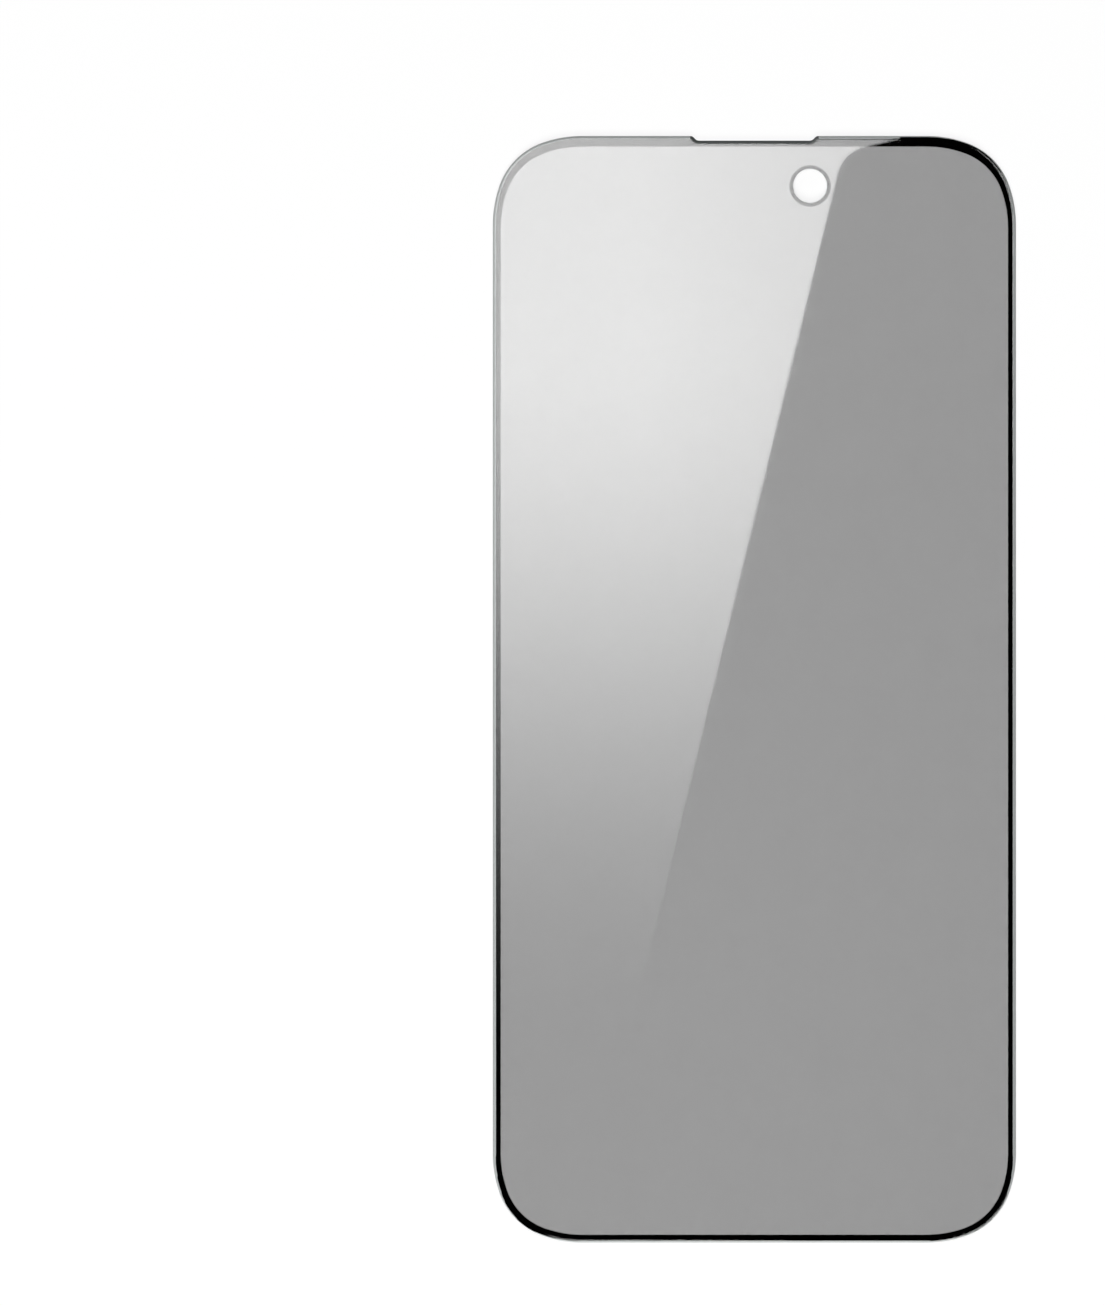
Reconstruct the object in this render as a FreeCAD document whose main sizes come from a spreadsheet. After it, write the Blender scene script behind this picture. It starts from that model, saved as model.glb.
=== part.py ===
"""Privacy screen protector for the display of a phone.

The protector is a laminate that lies flat with its front up. From below it is a silicone adhesive, a tinted
privacy film, black print on the back of the glass, and a tempered cover glass with a rounded 2.5D edge.
+X is its right, +Y the end with the earpiece notch and +Z its front.
The origin is the middle of the adhesive's underside.
"""

import FreeCAD, Part
import math
import os
from collections import namedtuple

import Sketcher

# Driving sizes, in millimetres and degrees.
SIZES = {
    # Cover glass. Each corner is a tight arc with a wider arc that eases it into each straight side.
    "glass_width": 73.7,
    "glass_length": 155.9,
    "glass_thickness": 0.33,
    "corner_radius": 9.8,
    "easing_radius": 16.6,
    "easing_angle": 20,
    # The 2.5D edge slopes from the front down to a short upright wall, and is rounded at both its ends.
    "slope_width": 0.38,
    "edge_wall_height": 0.15,
    "crown_radius": 0.7,
    "lip_radius": 0.12,
    "edge_break": 0.04,
    # Earpiece notch in the middle of the top edge, and the hole that the front camera looks through.
    "notch_width": 17.5,
    "notch_depth": 0.66,
    "notch_slope": 45,
    "notch_corner_spare": 0.32,
    "camera_across": 7.85,
    "camera_below_top": 7.05,
    "camera_hole_diameter": 4.75,
    # Black print on the back of the glass: a frame round the window and a ring round the camera hole.
    # The frame leaves a clear rim at the sides and the notch, and comes nearer the edge everywhere else.
    "print_thickness": 0.02,
    "print_margin": 0.42,
    "print_top_margin": 0.16,
    "print_bottom_margin": 0.26,
    "print_corner_margin": 0.12,
    "print_side_width": 0.70,
    "print_under_notch": 0.42,
    "print_bottom_width": 0.86,
    "ring_width": 0.50,
    # Privacy film. It fills the print's window and ends inside the print's outer edge.
    "film_thickness": 0.15,
    "film_setback": 0.10,
    "print_clearance": 0.03,
    # Adhesive, set back from the film's outer edge.
    "adhesive_thickness": 0.05,
    "adhesive_setback": 0.10,
}

# Sizes that follow from the driving ones.
GLASS_LEVEL = "sizes.adhesive_thickness + sizes.film_thickness"
PRINT_LEVEL = f"{GLASS_LEVEL} - sizes.print_thickness"
FILM_INSET = "sizes.print_margin + sizes.film_setback"
ADHESIVE_INSET = f"{FILM_INSET} + sizes.adhesive_setback"
HOLE_RADIUS = "sizes.camera_hole_diameter / 2"
# Behind the glass, the camera hole of every layer ends at the glass's broken edge.
BACK_HOLE_RADIUS = f"{HOLE_RADIUS} + sizes.edge_break"
RING_RADIUS = f"{BACK_HOLE_RADIUS} + sizes.ring_width"

# The notch's rounded corners leave room for the sloped edge, and stay within the notch's flanks.
HALF_SLOPE_TANGENT = "tan(sizes.notch_slope / 2)"
FLANK_SHARE = 0.45
FLANK_LIMIT = f"{FLANK_SHARE} * sizes.notch_depth / sin(sizes.notch_slope) / {HALF_SLOPE_TANGENT}"
NOTCH_RADIUS = f"min(sizes.slope_width + sizes.notch_corner_spare; {FLANK_LIMIT})"

# The rounding of the 2.5D edge stays within the slope, the upright wall and the notch's corners.
ROUNDING_SHARE = 0.9
SLOPE_DROP = "(sizes.glass_thickness - sizes.edge_wall_height)"
SLOPE_LENGTH = f"hypot(sizes.slope_width; {SLOPE_DROP})"
SLOPE_TILT = f"atan({SLOPE_DROP} / sizes.slope_width)"
CROWN_ROOM = f"min({SLOPE_LENGTH} / 2; {NOTCH_RADIUS} - sizes.slope_width)"
CROWN_LIMIT = f"{ROUNDING_SHARE} * {CROWN_ROOM} / tan({SLOPE_TILT} / 2)"
LIP_ROOM = f"min({SLOPE_LENGTH} / 2; sizes.edge_wall_height - sizes.edge_break)"
LIP_LIMIT = f"{ROUNDING_SHARE} * {LIP_ROOM} / tan(45 deg - {SLOPE_TILT} / 2)"

# Directions in the plane of the sheet, in degrees, and the turn that each corner makes.
RIGHT, BACK, LEFT, FRONT = 0, 90, 180, 270
CORNER_TURN = 90

# Corners of a sheet, counter-clockwise from its top right: signs of x and y, and where the first arc starts.
CORNERS = ((1, 1, RIGHT), (-1, 1, BACK), (-1, -1, LEFT), (1, -1, FRONT))

# How far an outline lies inside the glass's edge at its sides, top, bottom and notch, and by how much the
# radii of its top and bottom corners are smaller than the glass's.
Outline = namedtuple("Outline", "side top bottom notch top_corners bottom_corners")

# A sketch's own origin, and the points of a line, arc or circle in it.
ORIGIN = (-1, 1)
START, END, CENTRE = 1, 2, 3
UP = FreeCAD.Vector(0, 0, 1)
SAME_LEVEL = 1e-6

doc = FreeCAD.newDocument("privacy_screen_protector")
sheet = doc.addObject("Spreadsheet::Sheet", "sizes")
for row, (alias, value) in enumerate(SIZES.items(), start=1):
    sheet.set(f"A{row}", alias)
    sheet.set(f"B{row}", str(value))
    sheet.setAlias(f"B{row}", alias)
doc.recompute()


def add_body(label, level):
    """A sub-part with its label, whose own bottom lies at the given level of the laminate."""
    body = doc.addObject("PartDesign::Body", label)
    body.Label = label
    body.setExpression("Placement.Base.z", level)
    return body


def add_sketch(body, name, level="0"):
    """An empty sketch on the body's bottom plane, or raised above it to the given level."""
    sketch = body.newObject("Sketcher::SketchObject", name)
    planes = [feature for feature in body.Origin.OriginFeatures if feature.Role == "XY_Plane"]
    sketch.AttachmentSupport = [(planes[0], "")]
    sketch.MapMode = "FlatFace"
    sketch.setExpression("AttachmentOffset.Base.z", level)
    return sketch


def add_pad(body, name, sketch, thickness):
    """Material as thick as the expression says, on top of a sketch."""
    pad = body.newObject("PartDesign::Pad", name)
    pad.Profile = sketch
    pad.setExpression("Length", thickness)
    doc.recompute()
    return pad


def number(sketch, expression):
    """The present value of an expression of the driving sizes."""
    return float(sketch.evalExpression(expression))


def bind(sketch, expression, kind, *elements):
    """A dimension of the sketch that follows an expression of the driving sizes."""
    value = number(sketch, expression)
    if kind == "Angle":
        value = math.radians(value)
    index = sketch.addConstraint(Sketcher.Constraint(kind, *elements, value))
    sketch.setExpression(f"Constraints[{index}]", expression)


def bind_place(sketch, expression, kind, element, sign):
    """The distance of a point from the sketch's origin, on the positive or the negative side of it."""
    points = (*ORIGIN, *element) if sign > 0 else (*element, *ORIGIN)
    bind(sketch, expression, kind, *points)


def polar(degrees, radius):
    """The vector of that length in that direction."""
    angle = math.radians(degrees)
    return FreeCAD.Vector(radius * math.cos(angle), radius * math.sin(angle), 0)


def even_outline(inset):
    """The glass's own outline, moved inwards all round by an inset."""
    return Outline(*[inset] * len(Outline._fields))


def print_outline():
    """The outer edge of the printed frame. Its corners are tighter, and come near the glass's edge."""
    side, top, bottom = "sizes.print_margin", "sizes.print_top_margin", "sizes.print_bottom_margin"
    reductions = []
    for end in (top, bottom):
        square_corner = f"({side} + {end}) / sqrt(2)"
        reductions.append(f"({square_corner} - sizes.print_corner_margin) / (sqrt(2) - 1)")
    return Outline(side, top, bottom, side, *reductions)


def corner_radii(reduction):
    """The tight and the wide radius of a corner, both smaller than the glass's by the same reduction."""
    return f"sizes.corner_radius - ({reduction})", f"sizes.easing_radius - ({reduction})"


def corner_arcs(sketch, edges, radii, corner):
    """The three arcs of one corner as (centre, radius, first angle, last angle, way round)."""
    sign_x, sign_y, first = corner
    half_width, top, bottom = (number(sketch, edge) for edge in edges)
    tight, wide = (number(sketch, radius) for radius in radii)
    easing = number(sketch, "sizes.easing_angle")
    inward = wide - (wide - tight) * math.cos(math.radians(easing))
    edge_y = top if sign_y > 0 else -bottom
    middle = FreeCAD.Vector(sign_x * (half_width - inward), edge_y - sign_y * inward, 0)
    last = first + CORNER_TURN
    joints = (first + easing, last - easing)
    return [
        (middle - polar(joints[0], wide - tight), wide, first, joints[0], 1),
        (middle, tight, joints[0], joints[1], 1),
        (middle - polar(joints[1], wide - tight), wide, joints[1], last, 1),
    ]


def notch_brow(outline):
    """How far from the middle the round between the notch's flank and the top edge has its centre."""
    down = f"({outline.top} + {NOTCH_RADIUS}) / tan(sizes.notch_slope)"
    aside = f"({outline.notch} + {NOTCH_RADIUS}) / sin(sizes.notch_slope)"
    return f"sizes.notch_width / 2 - {down} + {aside}"


def notch_foot(outline):
    """How far from the middle the round between the notch's flank and its floor has its centre."""
    run_in = "sizes.notch_depth / tan(sizes.notch_slope)"
    return f"sizes.notch_width / 2 - {run_in} + ({outline.notch} - {NOTCH_RADIUS}) * {HALF_SLOPE_TANGENT}"


def notch_floor(outline):
    """How far from the middle of the sheet the notch's floor lies."""
    return f"sizes.glass_length / 2 - ({outline.notch}) - sizes.notch_depth"


def notch_arcs(sketch, outline, top):
    """The four rounded corners of the notch from right to left, each a run of one arc."""
    radius = number(sketch, NOTCH_RADIUS)
    slope = number(sketch, "sizes.notch_slope")
    brow = FreeCAD.Vector(number(sketch, notch_brow(outline)), number(sketch, top) - radius, 0)
    floor = number(sketch, notch_floor(outline))
    foot = FreeCAD.Vector(number(sketch, notch_foot(outline)), floor + radius, 0)
    left_brow = FreeCAD.Vector(-brow.x, brow.y, 0)
    left_foot = FreeCAD.Vector(-foot.x, foot.y, 0)
    return [
        [(brow, radius, BACK, BACK + slope, 1)],
        [(foot, radius, FRONT, FRONT + slope, -1)],
        [(left_foot, radius, FRONT - slope, FRONT, -1)],
        [(left_brow, radius, BACK - slope, BACK, 1)],
    ]


def draw_loop(sketch, runs):
    """Draws runs of arcs with a straight line after each run, tangent all round. Returns arcs and lines."""
    arcs = []
    chain = []
    for run in runs:
        ids = []
        for centre, radius, first, last, way in run:
            circle = Part.Circle(centre, UP, radius)
            arc = Part.ArcOfCircle(circle, math.radians(first), math.radians(last))
            ids.append(sketch.addGeometry(arc, False))
            chain.append((ids[-1], START, END) if way > 0 else (ids[-1], END, START))
        arcs.append(ids)
        chain.append(None)
    lines = []
    for place, link in enumerate(chain):
        if link is None:
            before = chain[place - 1]
            after = chain[(place + 1) % len(chain)]
            start = sketch.getPoint(before[0], before[2])
            end = sketch.getPoint(after[0], after[1])
            lines.append(sketch.addGeometry(Part.LineSegment(start, end), False))
            chain[place] = (lines[-1], START, END)
    for link, following in zip(chain, chain[1:] + chain[:1]):
        sketch.addConstraint(Sketcher.Constraint("Tangent", link[0], link[2], following[0], following[1]))
    return arcs, lines


def dimension_corners(sketch, arcs, radii):
    """Ties the radii and easing angles of the four corners to the driving sizes."""
    for (first, middle, last), (tight, wide) in zip(arcs, radii):
        bind(sketch, tight, "Radius", middle)
        for easing in (first, last):
            bind(sketch, wide, "Radius", easing)
            bind(sketch, "sizes.easing_angle", "Angle", easing)


def dimension_sides(sketch, edges, right, left, bottom, tops):
    """Sets the sides upright or level, at their distances from the middle of the sheet."""
    half_width, top, low = edges
    for line, sign in ((right, 1), (left, -1)):
        sketch.addConstraint(Sketcher.Constraint("Vertical", line))
        bind_place(sketch, half_width, "DistanceX", (line, START), sign)
    for line, sign, expression in [(bottom, -1, low)] + [(line, 1, top) for line in tops]:
        sketch.addConstraint(Sketcher.Constraint("Horizontal", line))
        bind_place(sketch, expression, "DistanceY", (line, START), sign)


def dimension_notch(sketch, arcs, floor, outline):
    """Ties the notch's corners, slope, depth and width to the driving sizes."""
    brow_right, foot_right, foot_left, brow_left = (ids[0] for ids in arcs)
    for arc in (brow_right, foot_right, foot_left, brow_left):
        bind(sketch, NOTCH_RADIUS, "Radius", arc)
    for arc, sign in ((foot_right, 1), (foot_left, -1)):
        bind(sketch, "sizes.notch_slope", "Angle", arc)
        bind_place(sketch, notch_foot(outline), "DistanceX", (arc, CENTRE), sign)
    sketch.addConstraint(Sketcher.Constraint("Horizontal", floor))
    bind_place(sketch, notch_floor(outline), "DistanceY", (floor, START), 1)


def outline_edges(side, top, bottom):
    """How far from the middle a sheet's sides, top and bottom lie, given how far inside the glass's edge."""
    return (
        f"sizes.glass_width / 2 - ({side})",
        f"sizes.glass_length / 2 - ({top})",
        f"sizes.glass_length / 2 - ({bottom})",
    )


def draw_outline(sketch, outline):
    """An outline of the protector, with its notch."""
    edges = outline_edges(outline.side, outline.top, outline.bottom)
    ends = (outline.top_corners, outline.top_corners, outline.bottom_corners, outline.bottom_corners)
    radii = [corner_radii(reduction) for reduction in ends]
    corners = [corner_arcs(sketch, edges, pair, corner) for pair, corner in zip(radii, CORNERS)]
    notch = notch_arcs(sketch, outline, edges[1])
    arcs, lines = draw_loop(sketch, [corners[0]] + notch + corners[1:])
    top_right, _, floor, _, top_left, left, bottom, right = lines
    dimension_corners(sketch, [arcs[0]] + arcs[5:], radii)
    dimension_sides(sketch, edges, right, left, bottom, (top_right, top_left))
    dimension_notch(sketch, arcs[1:5], floor, outline)


def draw_window(sketch, clearance):
    """The inner edge of the printed frame, moved inwards by a clearance."""
    side = f"sizes.print_margin + sizes.print_side_width + {clearance}"
    under_notch = f"sizes.print_margin + sizes.notch_depth + sizes.print_under_notch + {clearance}"
    low = f"sizes.print_bottom_margin + sizes.print_bottom_width + {clearance}"
    edges = outline_edges(side, under_notch, low)
    radii = [corner_radii(side)] * len(CORNERS)
    corners = [corner_arcs(sketch, edges, pair, corner) for pair, corner in zip(radii, CORNERS)]
    arcs, lines = draw_loop(sketch, corners)
    top, left, bottom, right = lines
    dimension_corners(sketch, arcs, radii)
    dimension_sides(sketch, edges, right, left, bottom, (top,))


def draw_camera_circle(sketch, radius):
    """A circle round the axis of the camera hole."""
    across = "sizes.camera_across"
    along = "sizes.glass_length / 2 - sizes.camera_below_top"
    centre = FreeCAD.Vector(number(sketch, across), number(sketch, along), 0)
    circle = sketch.addGeometry(Part.Circle(centre, UP, number(sketch, radius)), False)
    bind(sketch, radius, "Radius", circle)
    bind_place(sketch, across, "DistanceX", (circle, CENTRE), 1)
    bind_place(sketch, along, "DistanceY", (circle, CENTRE), 1)


def add_cut_sheet(label, level, inset, hole_radius, thickness):
    """A sheet cut to the protector's outline, less an inset, with the camera hole. Returns body and pad."""
    body = add_body(label, level)
    sketch = add_sketch(body, f"{label}_cut_line")
    draw_outline(sketch, even_outline(inset))
    draw_camera_circle(sketch, hole_radius)
    return body, add_pad(body, f"{label}_sheet", sketch, thickness)


def edge_names(shape, level, hole_wanted=None):
    """Names of the edges that lie level at a height: all, or only those of the hole or of the outline."""
    names = []
    for index, edge in enumerate(shape.Edges, start=1):
        is_level = all(abs(vertex.Point.z - level) < SAME_LEVEL for vertex in edge.Vertexes)
        is_hole = len(edge.Vertexes) == 1
        if is_level and hole_wanted in (None, is_hole):
            names.append(f"Edge{index}")
    return names


def add_edge_feature(body, kind, name, base, names, **sizes):
    """A chamfer or fillet on the named edges of a feature, with its sizes tied to expressions."""
    feature = body.newObject(f"PartDesign::{kind}", name)
    feature.Base = (base, names)
    if "Size2" in sizes:
        feature.ChamferType = "Two distances"
    for key, expression in sizes.items():
        feature.setExpression(key, expression)
    doc.recompute()
    return feature


def build_cover_glass():
    """Tempered glass, cut to outline, with a 2.5D edge round the front and broken edges elsewhere."""
    body, blank = add_cut_sheet("cover_glass", GLASS_LEVEL, "0", HOLE_RADIUS, "sizes.glass_thickness")
    thickness = number(body, "sizes.glass_thickness")
    wall = number(body, "sizes.edge_wall_height")
    front = edge_names(blank.Shape, thickness, hole_wanted=False)
    slope = add_edge_feature(
        body, "Chamfer", "edge_slope", blank, front, Size=SLOPE_DROP, Size2="sizes.slope_width"
    )
    crown = add_edge_feature(
        body, "Fillet", "edge_crown", slope, edge_names(slope.Shape, thickness, hole_wanted=False),
        Radius=f"min(sizes.crown_radius; {CROWN_LIMIT})",
    )
    lip = add_edge_feature(
        body, "Fillet", "edge_lip", crown, edge_names(crown.Shape, wall),
        Radius=f"min(sizes.lip_radius; {LIP_LIMIT})",
    )
    broken = edge_names(lip.Shape, 0) + edge_names(lip.Shape, thickness, hole_wanted=True)
    add_edge_feature(body, "Chamfer", "broken_edges", lip, broken, Size="sizes.edge_break")
    return body


def build_border_print():
    """Black ink frame on the back of the glass, between the clear rim and the window."""
    body = add_body("border_print", PRINT_LEVEL)
    sketch = add_sketch(body, "border_print_field")
    draw_outline(sketch, print_outline())
    draw_window(sketch, "0")
    add_pad(body, "border_print_ink", sketch, "sizes.print_thickness")
    return body


def build_camera_ring_print():
    """Black ink ring on the back of the glass, round the camera hole."""
    body = add_body("camera_ring_print", PRINT_LEVEL)
    sketch = add_sketch(body, "camera_ring_field")
    draw_camera_circle(sketch, RING_RADIUS)
    draw_camera_circle(sketch, BACK_HOLE_RADIUS)
    add_pad(body, "camera_ring_ink", sketch, "sizes.print_thickness")
    return body


def build_privacy_film():
    """Tinted louvre film: a sheet under the print, with a raised field that fills the print's window."""
    under_print = "sizes.film_thickness - sizes.print_thickness"
    body, _ = add_cut_sheet(
        "privacy_film", "sizes.adhesive_thickness", FILM_INSET, BACK_HOLE_RADIUS, under_print
    )
    field = add_sketch(body, "privacy_film_window", under_print)
    draw_window(field, "sizes.print_clearance")
    draw_camera_circle(field, f"{RING_RADIUS} + sizes.print_clearance")
    add_pad(body, "privacy_film_field", field, "sizes.print_thickness")
    return body


def build_adhesive_layer():
    """Silicone adhesive that wets the display."""
    body, _ = add_cut_sheet(
        "adhesive_layer", "0", ADHESIVE_INSET, BACK_HOLE_RADIUS, "sizes.adhesive_thickness"
    )
    return body


def check_document(bodies):
    """Stops if a feature failed, a sketch isn't fully constrained or a sub-part isn't one valid solid."""
    for item in doc.Objects:
        if "Invalid" in item.State or "Error" in item.State:
            raise RuntimeError(f"{item.Name} failed: {item.State}")
        if item.TypeId == "Sketcher::SketchObject" and not item.FullyConstrained:
            raise RuntimeError(f"{item.Name} is not fully constrained")
    for body in bodies:
        shape = body.Shape
        if shape.isNull() or not shape.isValid() or len(shape.Solids) != 1:
            raise RuntimeError(f"{body.Label} is not one valid solid")


bodies = [
    build_cover_glass(),
    build_border_print(),
    build_camera_ring_print(),
    build_privacy_film(),
    build_adhesive_layer(),
]
doc.recompute()
check_document(bodies)

os.makedirs("parts", exist_ok=True)
for body in bodies:
    body.Shape.exportStep(f"parts/{body.Label}.step")
    box = body.Shape.BoundBox
    print(f"{body.Label}: {body.Shape.Volume:.2f} mm3, z {box.ZMin:.3f} to {box.ZMax:.3f}")
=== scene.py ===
# %% [markdown]
# # A privacy screen protector, dressed in Blender
# The object is a laminate as thin as a fingernail: a sheet of tempered glass, a black border
# printed on its back, a grey film with over a thousand upright black slats inside, and a coat of
# silicone that sticks it to a display. The CAD model gives the sizes and most of the layers.
# This lesson loads it as a fixed frame, remodels the glass with a smooth edge, adds the slats,
# and gives every layer the finish it has on the real thing.

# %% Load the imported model
import math

import bmesh
import bpy
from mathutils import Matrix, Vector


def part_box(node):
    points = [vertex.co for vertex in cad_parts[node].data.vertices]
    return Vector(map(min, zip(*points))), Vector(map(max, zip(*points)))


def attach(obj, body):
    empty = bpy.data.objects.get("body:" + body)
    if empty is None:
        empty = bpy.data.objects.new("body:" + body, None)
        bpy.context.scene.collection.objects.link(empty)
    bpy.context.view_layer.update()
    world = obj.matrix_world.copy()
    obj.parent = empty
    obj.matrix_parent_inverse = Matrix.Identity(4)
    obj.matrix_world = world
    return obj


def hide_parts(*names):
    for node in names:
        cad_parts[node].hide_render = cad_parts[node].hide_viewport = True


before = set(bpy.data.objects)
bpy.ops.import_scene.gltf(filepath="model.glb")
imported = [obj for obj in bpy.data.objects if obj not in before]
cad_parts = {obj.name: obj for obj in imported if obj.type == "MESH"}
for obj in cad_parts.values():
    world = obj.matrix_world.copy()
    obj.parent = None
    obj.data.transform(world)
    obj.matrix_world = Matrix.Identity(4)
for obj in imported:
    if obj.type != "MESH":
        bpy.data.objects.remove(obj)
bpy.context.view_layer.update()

print("CAD nodes:", ", ".join(sorted(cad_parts)))

# %% [markdown]
# ## Sizes
# Everything here is small, and Blender's operators merge or skip points that lie closer than
# about a thousandth of a unit. So each new piece is drawn with one unit to the millimetre and
# brought down to metres when it is finished. The overall sizes come from the CAD node itself.
# The corner and the notch repeat the values that the CAD outline was drawn with.

# %% Sizes of the glass in millimetres
MM = 0.001
glass_low, glass_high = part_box("cover_glass")
HALF_WIDTH = glass_high.x / MM
HALF_LENGTH = glass_high.y / MM
GLASS_BACK = glass_low.z / MM
GLASS_FRONT = glass_high.z / MM

CORNER_RADIUS = 9.8
EASING_RADIUS = 16.6
EASING_ANGLE = 20.0
NOTCH_HALF_WIDTH = 8.75
NOTCH_DEPTH = 0.66
NOTCH_SLOPE = 45.0
NOTCH_RADIUS = 0.70
CAMERA_ACROSS = 7.85
CAMERA_BELOW_TOP = 7.05
CAMERA_CENTER = (CAMERA_ACROSS, HALF_LENGTH - CAMERA_BELOW_TOP)
CAMERA_RADIUS = 2.375

print(f"glass {2 * HALF_WIDTH:.2f} x {2 * HALF_LENGTH:.2f} x {GLASS_FRONT - GLASS_BACK:.2f} mm")

# %% [markdown]
# ## Drawing an outline with a pen
# The outline is straight runs joined by arcs. Each corner is three arcs, a tight one between
# two wide ones, which is what gives a display its soft corners. By hand this is drawn from one
# point: extrude the point for a straight run, spin it for an arc. A plane merged to its centre
# is that point. Only the right half is drawn, and a Mirror modifier makes the left.
# Spin turns clockwise for a positive angle, so the pen runs clockwise from the notch.

# %% The arcs of the right half
CORNER_STEPS = 26
EASING_STEPS = 14
NOTCH_STEPS = 8
RIGHT_ANGLE = 90.0
NEAR = 1e-4


def on_circle(center, radius, angle):
    """The point of a circle at an angle in degrees."""
    turn = math.radians(angle)
    return center[0] + radius * math.cos(turn), center[1] + radius * math.sin(turn)


def corner_arcs(inset, top):
    """The three arcs of the upper or the lower right corner, clockwise."""
    reach = EASING_RADIUS - CORNER_RADIUS
    margin = EASING_RADIUS - reach * math.cos(math.radians(EASING_ANGLE))
    side = 1 if top else -1
    main = (HALF_WIDTH - margin, side * (HALF_LENGTH - margin))
    bend = RIGHT_ANGLE - 2 * EASING_ANGLE
    first = RIGHT_ANGLE if top else 0.0
    joint = first - EASING_ANGLE
    last = joint - bend
    return [
        (on_circle(main, -reach, joint), EASING_RADIUS - inset, first, EASING_ANGLE, EASING_STEPS),
        (main, CORNER_RADIUS - inset, joint, bend, CORNER_STEPS),
        (on_circle(main, -reach, last), EASING_RADIUS - inset, last, EASING_ANGLE, EASING_STEPS),
    ]


def notch_arcs(inset):
    """The hollow arc at the foot of the notch and the round one at its brow."""
    slide = NOTCH_RADIUS * math.tan(math.radians(NOTCH_SLOPE / 2))
    foot_x = NOTCH_HALF_WIDTH - NOTCH_DEPTH / math.tan(math.radians(NOTCH_SLOPE)) - slide
    foot = (foot_x, HALF_LENGTH - NOTCH_DEPTH + NOTCH_RADIUS)
    brow = (NOTCH_HALF_WIDTH + slide, HALF_LENGTH - NOTCH_RADIUS)
    return [
        (foot, NOTCH_RADIUS + inset, -RIGHT_ANGLE, -NOTCH_SLOPE, NOTCH_STEPS),
        (brow, NOTCH_RADIUS - inset, RIGHT_ANGLE + NOTCH_SLOPE, NOTCH_SLOPE, NOTCH_STEPS),
    ]


print("arcs in half the outline:", len(notch_arcs(0) + corner_arcs(0, True) + corner_arcs(0, False)))

# %% The pen


def pen_down(name, x, y):
    """Starts a mesh that is one selected point, in edit mode."""
    bpy.ops.object.select_all(action="DESELECT")
    bpy.ops.mesh.primitive_plane_add(size=1.0)
    piece = bpy.context.object
    piece.name = name
    piece.data.name = name
    bpy.ops.object.mode_set(mode="EDIT")
    bpy.ops.mesh.select_mode(type="VERT")
    bpy.ops.mesh.select_all(action="SELECT")
    bpy.ops.mesh.merge(type="CENTER")
    bpy.ops.transform.translate(value=(x, y, 0.0))
    return piece


def pen_line(start, end):
    """Extrudes the selected point along a straight run, unless it is there already."""
    run = (end[0] - start[0], end[1] - start[1], 0.0)
    if math.hypot(*run) > NEAR:
        bpy.ops.mesh.extrude_vertices_move(TRANSFORM_OT_translate={"value": run})
    return end


def pen_arc(center, radius, first, turn, steps):
    """Spins the selected point about a centre and gives the point where it ends."""
    pivot = (center[0], center[1], 0.0)
    bpy.ops.mesh.spin(steps=steps, angle=math.radians(turn), center=pivot, axis=(0, 0, 1))
    return on_circle(center, radius, first - turn)


def apply_modifier(piece, kind, **settings):
    """Adds a modifier to the active piece, sets it and applies it."""
    bpy.context.view_layer.objects.active = piece
    bpy.ops.object.modifier_add(type=kind)
    modifier = piece.modifiers[-1]
    for name, value in settings.items():
        setattr(modifier, name, value)
    bpy.ops.object.modifier_apply(modifier=modifier.name)


def draw_outline(name, inset):
    """Draws the protector's outline, moved inwards, as one flat face in object mode."""
    here = (0.0, HALF_LENGTH - NOTCH_DEPTH - inset)
    piece = pen_down(name, *here)
    for arc in notch_arcs(inset) + corner_arcs(inset, True) + corner_arcs(inset, False):
        here = pen_line(here, on_circle(*arc[:3]))
        here = pen_arc(*arc)
    pen_line(here, (0.0, inset - HALF_LENGTH))
    bpy.ops.object.mode_set(mode="OBJECT")
    apply_modifier(piece, "MIRROR")
    bpy.ops.object.mode_set(mode="EDIT")
    bpy.ops.mesh.select_all(action="SELECT")
    bpy.ops.mesh.edge_face_add()
    bpy.ops.object.mode_set(mode="OBJECT")
    print(name, "outlined with", len(piece.data.vertices), "points")
    return piece


# %% [markdown]
# ## Selecting by place
# With no mouse, edges and faces are picked by where they are or which way they face. One helper
# does that for the whole lesson. Another raises a flat outline to a solid, as extrude does on
# a drawing: the drawn face stays as the back, and the new face is the front.

# %% Picking and raising


def pick(piece, kind, test):
    """In edit mode, selects only the vertices, edges or faces that pass the test."""
    bpy.ops.mesh.select_mode(type=kind)
    bpy.ops.mesh.select_all(action="DESELECT")
    shape = bmesh.from_edit_mesh(piece.data)
    groups = {"VERT": shape.verts, "EDGE": shape.edges, "FACE": shape.faces}
    chosen = [item for item in groups[kind] if test(item)]
    for item in chosen:
        item.select_set(True)
    shape.select_flush_mode()
    bmesh.update_edit_mesh(piece.data)
    return len(chosen)


def lies_at(height):
    """A test for edges and faces that lie flat at one height."""
    return lambda item: all(abs(v.co.z - height) < NEAR for v in item.verts)


def raise_outline(piece, height):
    """Extrudes a flat outline upwards and leaves the piece in edit mode."""
    bpy.ops.object.mode_set(mode="EDIT")
    bpy.ops.mesh.select_all(action="SELECT")
    bpy.ops.mesh.extrude_region_move(TRANSFORM_OT_translate={"value": (0.0, 0.0, height)})
    bpy.ops.mesh.select_all(action="SELECT")
    bpy.ops.mesh.normals_make_consistent(inside=False)
    print(piece.name, f"raised by {height:.3f} mm")
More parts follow.
